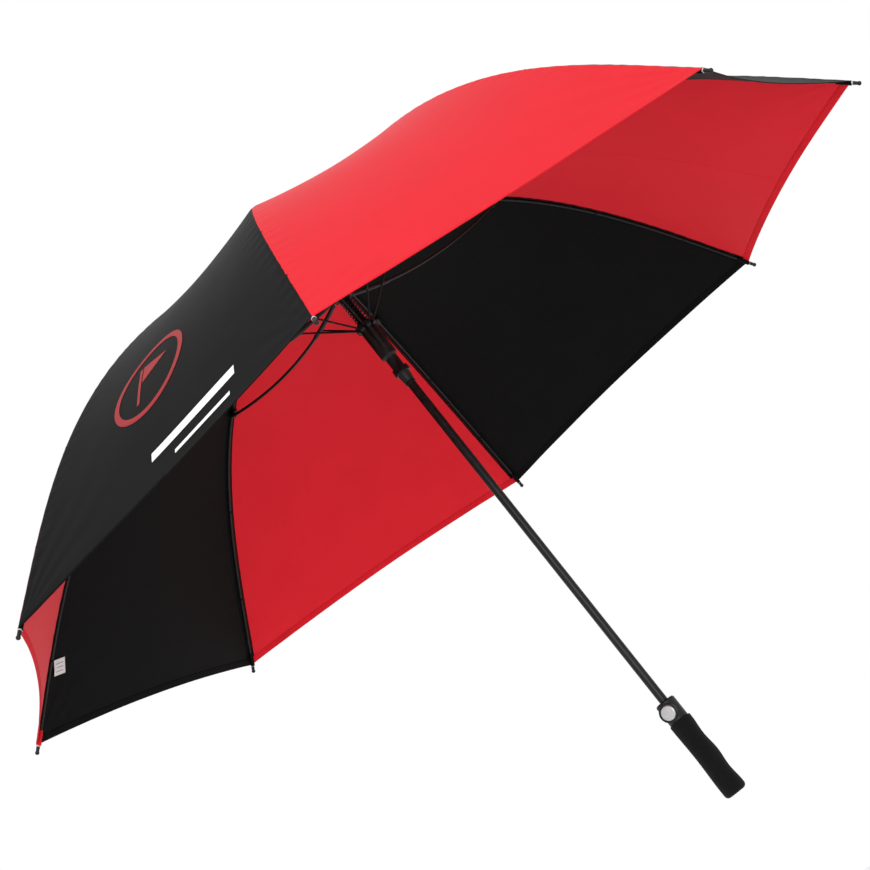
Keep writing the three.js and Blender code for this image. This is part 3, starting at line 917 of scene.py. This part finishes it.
def make_pocket(rib):
    """The folded corner of the cloth that slips over the rod's end."""
    red_loop = rib == red_pocket_rib

    def place(turn, share):
        r = pocket_from + (pocket_to - pocket_from) * share
        wide, high = flattened(turn, pocket_half_width - 0.0005 * share,
                               pocket_half_height + 0.0006 * share)
        fold = pocket_crease * math.sin(share * 12 + rib) * math.cos(turn * 3)
        return beside_seam(r, pocket_drop + high + fold, rib, wide)

    cloth = hem_cloth["red" if red_loop else "black"]
    return finish_piece(f"tip_pocket_{rib}", rolled(18, 16, place), cloth, f"rib_{rib}",
                        "red_fabric" if red_loop else "black_fabric", [f"rib_tip_{rib}"])


def make_tip(rib):
    out, across, up = rib_directions(rib_end, rib)
    stand = axes(beside_seam(rib_end, -below_cloth, rib), across, up, out)
    ring = lathe([(ring_bore, ring_start), (ring_radius, ring_start), (ring_radius, ring_length),
                  (ring_bore, ring_length)], stand, tip_sides, closed=True)
    finish_piece(f"tip_ring_{rib}", soften(ring, 0.0003), satin, f"rib_{rib}", "satin_silver",
                 [f"rib_tip_{rib}"])
    start = ring_length + 0.0003
    slim = cap_length - 0.0045
    bulb = 0.0027
    cap = lathe([(0, start), (0.0024, start), (0.0021, slim), (bulb, slim + 0.0014),
                 (bulb, cap_length - 0.0016), (0.0016, cap_length - 0.0003), (0, cap_length)],
                stand, tip_sides)
    return finish_piece(f"tip_cap_{rib}", soften(cap, 0.0004, 20, 3), nylon, f"rib_{rib}",
                        "black_plastic", [f"rib_tip_{rib}"], smooth_angle=50)


def satin_plate():
    """Plated metal with a fine turned finish round the button's own axis."""
    plate = Finish("satin plate", Metallic=0.55)
    here = plate.where(centre=button_centre, turn=(0, 0, button_azimuth))
    _, y, z = plate.parts(here)
    from_axis = plate.math("SQRT", y * y + z * z)
    lines = plate.cloud(plate.node("ShaderNodeCombineXYZ", {"X": from_axis * 9000}), 1.0, detail=3.0)
    haze = plate.cloud(plate.where(), 300.0)
    tone = plate.mix(lines * 0.5 + haze * 0.5, ink(160, 160, 162), ink(205, 205, 207))
    return plate.paint(tone, 0.24 + 0.16 * lines, lines, depth=0.00003, strength=0.3)


button_azimuth = math.radians(-20)
button_height = 0.1195
button_face = 0.0140
button_radius = 0.0094
button_centre = tuple(at_azimuth((button_face, 0, 0), button_azimuth) + Vector((0, 0, button_height)))
satin = satin_plate()
for rib in range(1, rib_count + 1):
    make_clip(rib)
    make_ties(rib)
    make_pocket(rib)
    make_tip(rib)
print("ribs dressed; the button's centre is at", [round(c, 4) for c in button_centre])

# %% [markdown]
# ## Stretchers and struts
#
# A stretcher is a second glass fibre rod that pushes the rib open from the upper runner. Its root is
# held in a moulded socket, and it lies just beside the rib so that the two can pass as they fold. A
# thin wire strut joins the lower runner to the end of that socket. Both paths are simple curves in
# the rib's plane: the stretcher bows down and out, the strut is straight with a small eye at each
# end.

# %% Stretchers with their sockets, and wire struts
stretcher_side = 0.0054
stretcher_root = (0.0098, 0.7681)
stretcher_pivot = (0.0120, 0.7680)
stretcher_bow = (0.150, 0.752)
stretcher_end = (0.318, 0.804)
stretcher_radius = 0.0020
stretcher_rows = 60
stretcher_eye = (0.0021, 0.0032)
eye_pin, eye_pin_side = (0.0062, 0.0011), 0.0026
socket_radius = 0.0029
socket_start = 0.0155
socket_reach = 0.086
socket_neck = 0.0021
socket_ridge = 0.00025
ridge_rows = (4, 5)
strut_pivot = (0.0120, 0.719)
strut_end = (0.0697, 0.7644)
strut_radius = 0.0012
strut_rows = 24
strut_eye = (0.0012, 0.0019)


def in_rib_plane(point, rib, side=0.0):
    return at_azimuth((point[0], side, point[1]), (rib - 1) * rib_angle)


def arch(share):
    """The stretcher's bow as a quadratic curve from its pivot to its end."""
    a, b, c = (1 - share) ** 2, 2 * share * (1 - share), share ** 2
    return tuple(a * p + b * q + c * r for p, q, r in zip(stretcher_pivot, stretcher_bow, stretcher_end))


def make_stretcher(rib):
    body = f"stretcher_{rib}"
    azimuth = (rib - 1) * rib_angle
    path = [in_rib_plane(arch(s), rib, stretcher_side) for s in steps(stretcher_rows)]
    path.insert(0, in_rib_plane(stretcher_root, rib, stretcher_side))
    bm = swept(path, [stretcher_radius] * len(path), rod_sides)
    finish_piece(f"stretcher_rod_{rib}", bm, rib_fibre, body, "fibreglass", [body])
    within = [s for s in steps(300) if socket_start < arch(s)[0] < socket_reach]
    path = [in_rib_plane(arch(s), rib, stretcher_side) for s in within]
    last = len(path) - 1
    sizes = []
    for i in range(last + 1):
        swell = min(1, i / 3, (last - i) / 8)
        ridge = socket_ridge if i in ridge_rows else 0.0
        sizes.append(socket_neck + (socket_radius - socket_neck) * math.sin(swell * math.pi / 2) + ridge)
    finish_piece(f"stretcher_socket_{rib}", swept(path, sizes, 16), nylon, body, "black_plastic", [body])
    end = in_rib_plane(stretcher_end, rib, stretcher_side)
    pins = pin(end, azimuth, *stretcher_eye)
    merge(pins, pin(in_rib_plane(stretcher_end, rib, eye_pin_side), azimuth, *eye_pin))
    finish_piece(f"stretcher_eye_{rib}", pins, nylon, body, "black_plastic", [body])


def make_strut(rib):
    azimuth = (rib - 1) * rib_angle
    ends = Vector(strut_pivot), Vector(strut_end)
    path = [in_rib_plane(ends[0].lerp(ends[1], s), rib) for s in steps(strut_rows)]
    bm = swept(path, [strut_radius] * len(path))
    for end in ends:
        merge(bm, pin(in_rib_plane(end, rib), azimuth, *strut_eye))
    finish_piece(f"strut_wire_{rib}", bm, black_wire, f"strut_{rib}", "black_wire", [f"strut_{rib}"])


for rib in range(1, rib_count + 1):
    make_stretcher(rib)
    make_strut(rib)
print("eight stretchers and struts")

# %% [markdown]
# ## Shaft, runners and crown
#
# The shaft is a plain tube, so it is a spun rectangle. The runners, the crown hub and the housing are
# mouldings whose slots, latch groove and button well already exist in the frame's solids at their true
# sizes. A copy of such a solid is merged into one skin, its flat areas are joined, and its edges are
# rounded a little, as a mould leaves them. The frame's own solid stays untouched.

# %% Tubes and mouldings
shaft_low, shaft_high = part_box("shaft_tube")
shaft_radius = shaft_high.x
shaft_bore = 0.0042
fitting_bore = 0.0058
spike_plug_bottom = 0.873
mould_rounding = 0.0003
plate_rounding = 0.0002


def turned_piece(name, outline, material, body, slot, node, edge, segments=64, closed=True):
    bm = soften(lathe(outline, segments=segments, closed=closed), edge, 20, 3)
    return finish_piece(name, bm, material, body, slot, [node])


turned_piece("shaft_wrapped_tube",
             [(shaft_bore, shaft_low.z), (shaft_radius, shaft_low.z),
              (shaft_radius, shaft_high.z), (shaft_bore, shaft_high.z)],
             shaft_fibre, "frame", "shaft_fibre", "shaft_tube", 0.0004)
washer_low, washer_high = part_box("crown_washer")
turned_piece("crown_washer_disc",
             [(fitting_bore, washer_low.z), (washer_high.x, washer_low.z),
              (washer_high.x, washer_high.z), (fitting_bore, washer_high.z)],
             nylon, "frame", "black_plastic", "crown_washer", 0.0007)
ferrule_low, ferrule_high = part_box("ferrule")
turned_piece("ferrule_spike",
             [(0, spike_plug_bottom), (fitting_bore, spike_plug_bottom),
              (fitting_bore, ferrule_low.z), (ferrule_high.x, ferrule_low.z),
              (ferrule_high.x, ferrule_low.z + 0.0020), (0.0078, ferrule_low.z + 0.0045),
              (0.0070, ferrule_low.z + 0.012), (0.0048, ferrule_high.z - 0.0045),
              (0.0034, ferrule_high.z - 0.0012), (0, ferrule_high.z)],
             nylon, "frame", "black_plastic", "ferrule", 0.0006, closed=False)


def moulded_copy(node, name, material, body, slot, edge):
    """A merged copy of a frame solid with its flats joined and its edges rounded."""
    bm = bmesh.new()
    bm.from_mesh(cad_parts[node].data)
    bmesh.ops.remove_doubles(bm, verts=bm.verts, dist=1e-6)
    bmesh.ops.dissolve_limit(bm, angle_limit=math.radians(1), verts=bm.verts, edges=bm.edges)
    soften(bm, edge, 30, 2)
    return finish_piece(name, bm, material, body, slot, [node], smooth_angle=32, outward=False)


for node, name, body in (("crown_hub", "crown_hub_moulding", "frame"),
                         ("upper_runner", "upper_runner_moulding", "upper_runner"),
                         ("lower_runner", "lower_runner_moulding", "lower_runner"),
                         ("handle_housing", "handle_housing_shell", "frame")):
    moulded_copy(node, name, nylon, body, "black_plastic", mould_rounding)
moulded_copy("latch_plate", "sprung_latch_plate", spring_wire, "push_button", "spring_steel",
             plate_rounding)
print("the shaft is", round(2000 * shaft_radius, 1), "mm thick")

# %% [markdown]
# ## Springs
#
# The opening spring stands between the two runners and throws the umbrella open. Its end turns are
# closed, so they lie flat in their seats. A helix is a swept rod whose path climbs as it turns: the
# climb is slow in the first and last turns and even between them. The coil is wound at its open
# length and rides on the lower runner.

# %% Wind the springs
spring_low, spring_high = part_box("opening_spring")
spring_wire_radius = 0.0009
spring_turns = 14
closed_turns = 1.5
flat_rise = 0.03


def climb(share, turns, flat_turns):
    """Height share of a coil whose end turns lie flat, from its share of the winding."""
    flat = flat_turns / turns
    if share < flat:
        return flat_rise * share / flat
    if share > 1 - flat:
        return 1 - flat_rise * (1 - share) / flat
    return flat_rise + (1 - 2 * flat_rise) * (share - flat) / (1 - 2 * flat)


def coil(radius, low, high, turns, flat_turns, wire_radius, around, per_turn, place=Matrix()):
    path = []
    for share in steps(turns * per_turn):
        turn = share * turns * 2 * math.pi
        height = low + (high - low) * climb(share, turns, flat_turns)
        path.append(place @ Vector((radius * math.cos(turn), radius * math.sin(turn), height)))
    return swept(path, [wire_radius] * len(path), around)


spring = finish_piece(
    "opening_spring_coil",
    coil(spring_high.x - spring_wire_radius, spring_low.z + spring_wire_radius,
         spring_high.z - spring_wire_radius, spring_turns, closed_turns, spring_wire_radius, 10, 32),
    spring_wire, "lower_runner", "spring_steel", ["opening_spring"])
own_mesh(spring)

return_spring_base = 0.0069
return_spring_length = 0.0026
return_spring_height = 0.1135
return_spring_radius, return_spring_wire = 0.0024, 0.0003


def facing_button(height):
    """A place on the shaft's axis whose Z points out through the button."""
    stand = Matrix.Rotation(button_azimuth, 4, "Z") @ Matrix.Rotation(math.pi / 2, 4, "Y")
    stand.translation = (0, 0, height)
    return stand


return_spring = finish_piece(
    "button_spring_coil",
    coil(return_spring_radius, return_spring_base, return_spring_base + return_spring_length, 4, 1,
         return_spring_wire, 8, 24, facing_button(return_spring_height)),
    spring_wire, "frame", "spring_steel", ["button_return_spring"])
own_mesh(return_spring)
print("opening spring", round(1000 * (spring_high.z - spring_low.z), 1), "mm long when open")

# %% [markdown]
# ## The grip
#
# The grip is a sleeve of dense foam rubber slipped over the shaft: round behind, swelling for the
# fingers in front, with a slight collar under the housing and a soft bottom edge. Its outline is a
# formula of height, so a grid is rolled up with that formula as its radius. The bottom is closed by
# a hard plug, which is a turned disc pushed in flush.

# %% Form the grip, its plug and the button
grip_low, grip_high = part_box("foam_grip")
grip_bore = 0.0059
grip_depth = 0.0136
front_reach, front_swell = 0.0143, 0.0008
front_taper, taper_from = 0.006, 0.060
back_reach, back_swell = 0.0136, 0.0005
back_middle, back_pitch = 0.104, 0.09
hand_unevenness = 0.006
finger_pitch = 0.048
finger_middle = 0.054
bottom_rounding = 0.0052
collar_rounding = 0.0018


def grip_front(z):
    wave = math.cos(2 * math.pi * (z - finger_middle) / finger_pitch)
    return front_reach + front_swell * wave - front_taper * max(0, z - taper_from)


def grip_back(z):
    """The palm's side runs in one easy S and flares at the collar."""
    return back_reach + back_swell * math.cos(2 * math.pi * (z - back_middle) / back_pitch)


def rounded_in(z):
    """How far the soft edges pull the outline in at a height."""
    low = max(0, grip_low.z + bottom_rounding - z)
    high = max(0, z - (grip_high.z - collar_rounding))
    pull = bottom_rounding - math.sqrt(max(0, bottom_rounding ** 2 - low ** 2))
    return pull + collar_rounding - math.sqrt(max(0, collar_rounding ** 2 - high ** 2))


def grip_point(turn, share):
    """A closed section: up the outside, over the collar, down the bore and back."""
    z, inside = grip_outline[round(share * (len(grip_outline) - 1))]
    if inside:
        return Vector((grip_bore * math.cos(turn), grip_bore * math.sin(turn), z))
    side = grip_front(z) if math.sin(turn) > 0 else grip_back(z)
    lift = abs(math.sin(turn)) ** 0.5
    reach = (grip_depth * (1 - lift) + side * lift) - rounded_in(z)
    hand = 1 + hand_unevenness * noise.noise(Vector((math.cos(turn) * 2, math.sin(turn) * 2, z * 40)))
    return Vector((reach * hand * math.cos(turn), reach * hand * math.sin(turn), z))


height_span = grip_high.z - grip_low.z
edge_steps = [bottom_rounding * (1 - math.cos(s * math.pi / 2)) for s in steps(8)]
even_steps = [bottom_rounding + (height_span - bottom_rounding - collar_rounding) * s for s in steps(48)]
collar_steps = [height_span - collar_rounding * (1 - math.sin(s * math.pi / 2)) for s in steps(6)]
grip_outline = [(grip_low.z + h, False) for h in edge_steps[:-1] + even_steps + collar_steps[1:]]
grip_outline += [(grip_high.z - height_span * s, True) for s in steps(8)]
bm = rolled(56, len(grip_outline), grip_point)
finish_piece("foam_grip_sleeve", bm, foam, "frame", "grip_foam", ["foam_grip"], smooth_angle=60)

turned_piece("grip_plug_disc",
             [(0, 0.0006), (0.0062, 0.0006), (0.0068, 0), (0.0089, 0), (0.0089, 0.0049),
              (0.0052, 0.0049), (0.0052, 0.020), (0, 0.020)],
             nylon, "frame", "black_plastic", "grip_end_plug", 0.0004, closed=False)
button_back = 0.0101
button_chamfer = 0.0010
button_outline = [(0, button_back), (button_radius - button_chamfer, button_back),
                  (button_radius, button_back + button_chamfer), (button_radius, button_face - 0.0012),
                  (button_radius - 0.0012, button_face - 0.0001),
                  (button_radius * 0.62, button_face + 0.0002),
                  (button_radius * 0.3, button_face + 0.0004), (0, button_face + 0.00045)]
bm = soften(lathe(button_outline, facing_button(button_height), 64), 0.0004, 25, 3)
finish_piece("satin_push_button", bm, satin, "push_button", "satin_silver", ["push_button"],
             smooth_angle=50)
print("the grip runs from", round(grip_low.z, 3), "to", round(grip_high.z, 3), "m")

# %% [markdown]
# ## Closing strap and care label
#
# A short strap with a touch-fastener patch is sewn to the outside of one panel, and it wraps the
# closed umbrella. Inside, a small woven label is caught in a seam near a tip. Both are bits of tape
# laid over the cloth, so they follow its surface with a little lift. The label carries plain grey
# lines where washing symbols would be.

# %% Lay the strap, the label and its lines
strap_panel = 6
strap_from, strap_to = 0.62, 0.85
strap_side = -0.40
strap_width = 0.022
strap_lift, strap_thickness = 0.0017, 0.0009
patch_from_end, patch_size = 0.045, (strap_width - 0.004, 0.026)
patch_lift, patch_thickness = 0.0024, 0.0008
label_panel = 6
label_size = (0.020, 0.018)
label_at = 0.895
label_from_seam = 0.009
label_lift = -0.0026
label_thickness = 0.0004
label_line_lift = 0.0004
label_line_pitch = 0.0045
label_line_width, label_line_thickness = 0.0007, 0.00012


def tape(name, panel, side, corner, size, lift, thickness, material, slot, node):
    """A piece of tape on a panel. corner is (share along, metres from the middle line)."""
    def place(u, v):
        along = corner[0] + size[1] * v / panel_length
        beside = corner[1] + size[0] * (u - 0.5)
        return on_panel(panel, along, beside / half_width(along), lift)

    def flat(u, v):
        return size[0] * u, size[1] * v

    bm = spread(8, 24, place, flat)
    if lift > 0:
        bmesh.ops.reverse_faces(bm, faces=bm.faces)
    return sewn_piece(name, panel, side, bm, material, slot, node, smooth_angle=cloth_angle,
                      outward=False, thickness=thickness)


strap_offset = strap_side * half_width((strap_from + strap_to) / 2)
strap_length = (strap_to - strap_from) * panel_length
strap = tape("closing_strap", strap_panel, -1, (strap_from, strap_offset), (strap_width, strap_length),
             strap_lift, strap_thickness, strap_tape, "black_fabric", "closure_strap")
patch = tape("strap_fastener_patch", strap_panel, -1, (strap_to - patch_from_end, strap_offset),
             patch_size, patch_lift, patch_thickness, foam, "black_fabric", "closure_strap")
label_side = half_width(label_at) - label_from_seam - label_size[0] / 2
label_start = label_at - label_size[1] / 2 / panel_length
label = tape("care_label_tape", label_panel, 1, (label_start, label_side), label_size, label_lift,
             label_thickness, label_tape, "label_tape", "care_label")
grey_line = printed_paint("grey line", ink(120, 120, 124), ink(150, 150, 152))
for row, (length, indent) in enumerate(((0.014, 0.0), (0.011, -0.001), (0.013, 0.0005))):
    start = label_start + label_line_pitch * (row + 1) / panel_length
    tape(f"care_label_line_{row + 1}", label_panel, 1, (start, label_side + indent),
         (length, label_line_width), label_lift - label_line_lift, label_line_thickness, grey_line,
         "label_tape", "care_label")
print("strap and label sewn on")

# %% [markdown]
# ## A plain printed mark
#
# One black panel carries a printed mark on the outside. Here it is a generic one: a thin ring round
# a small golf flag, and two plain bars below it. A print is a very thin skin on the cloth. It is
# drawn flat, in metres across and along the panel, cut at the panel's middle line, and each side is
# laid on its own half and rides on that half's rib.

# %% Print the ring, the flag and the bars
print_panel = 8
print_lift = 0.00042
print_thickness = 0.00012
ring_centre = Vector((-0.026, 0.562))
ring_outer, ring_inner = 0.060, 0.052
pole_centre, pole_size = ring_centre + Vector((-0.016, 0)), (0.0045, 0.066)
pennant = [ring_centre + Vector(corner)
           for corner in ((-0.012, -0.033), (0.030, -0.018), (-0.012, -0.003))]
bars = ((Vector((0.050, 0.698)), (0.140, 0.012)), (Vector((0.064, 0.7225)), (0.092, 0.005)))


def flat_ring(centre, outer, inner):
    bm = bmesh.new()
    for radius in (outer, inner):
        bmesh.ops.create_circle(bm, segments=96, radius=radius, matrix=Matrix.Translation(centre.to_3d()))
    bmesh.ops.bridge_loops(bm, edges=bm.edges[:])
    return bm


def flat_pennant(corners):
    bm = bmesh.new()
    bm.faces.new([bm.verts.new(corner.to_3d()) for corner in corners])
    bmesh.ops.subdivide_edges(bm, edges=bm.edges[:], cuts=5, use_grid_fill=True)
    return bm


def flat_bar(centre, size):
    bm = bmesh.new()
    place = Matrix.Translation(centre.to_3d()) @ Matrix.Diagonal((*size, 1, 1))
    longest = max(size)
    columns, rows = (max(2, round(30 * side / longest)) for side in size)
    bmesh.ops.create_grid(bm, x_segments=columns, y_segments=rows, size=0.5, matrix=place)
    return bm


def print_on(name, drawing, ink_finish, slot):
    """Lays a flat drawing on the printed panel, one piece for each half that it touches."""
    bmesh.ops.subdivide_edges(drawing, edges=drawing.edges[:], cuts=1, use_grid_fill=True)
    for side in (-1, 1):
        bm = drawing.copy()
        geom = bm.verts[:] + bm.edges[:] + bm.faces[:]
        bmesh.ops.bisect_plane(bm, geom=geom, dist=1e-6, plane_co=(0, 0, 0), plane_no=(-side, 0, 0),
                               clear_outer=True)
        if not bm.faces:
            bm.free()
            continue
        uv = bm.loops.layers.uv.new("cloth")
        for face in bm.faces:
            for corner in face.loops:
                corner[uv].uv = corner.vert.co.xy
        for vert in bm.verts:
            across, along = vert.co.x, vert.co.y / panel_length
            vert.co = on_panel(print_panel, along, across / half_width(along), print_lift)
        sewn_piece(f"{name}_beside_rib_{rib_beside(print_panel, side)}", print_panel, side, bm,
                   ink_finish, slot, smooth_angle=cloth_angle, outward=False,
                   thickness=print_thickness)
    drawing.free()


print_on("printed_ring", flat_ring(ring_centre, ring_outer, ring_inner), red_print, "red_fabric")
print_on("printed_pole", flat_bar(pole_centre, pole_size), red_print, "red_fabric")
print_on("printed_pennant", flat_pennant(pennant), red_print, "red_fabric")
for row, (centre, size) in enumerate(bars):
    print_on(f"printed_bar_{row + 1}", flat_bar(centre, size), white_print, "label_tape")
print("the mark is", round(2000 * ring_outer), "mm across")

# %% [markdown]
# ## What each piece of cloth was cut from
#
# A half panel is cut as a right-angled triangle with a bowed seam: as wide as half a hem and as long
# as a seam. The strap and the label are plain rectangles. The flat area of a half panel is summed
# strip by strip and printed.

half_hem = half_width(1)


def cut_area():
    """The flat area of a half panel, strip by strip from the crown to the hem."""
    strips = 200
    total = 0.0
    for i in range(strips):
        along = (i + 0.5) / strips
        slope = seam_slope(radius_at(along))
        total += half_width(along) * math.hypot(1, slope) * (corner_radius - crown_hole) / strips
    return total


for (panel, side), half in half_panels.items():
    rib = rib_beside(panel, side)
    cut_area()
print("each half panel is cut from", round(cut_area(), 4), "square metres")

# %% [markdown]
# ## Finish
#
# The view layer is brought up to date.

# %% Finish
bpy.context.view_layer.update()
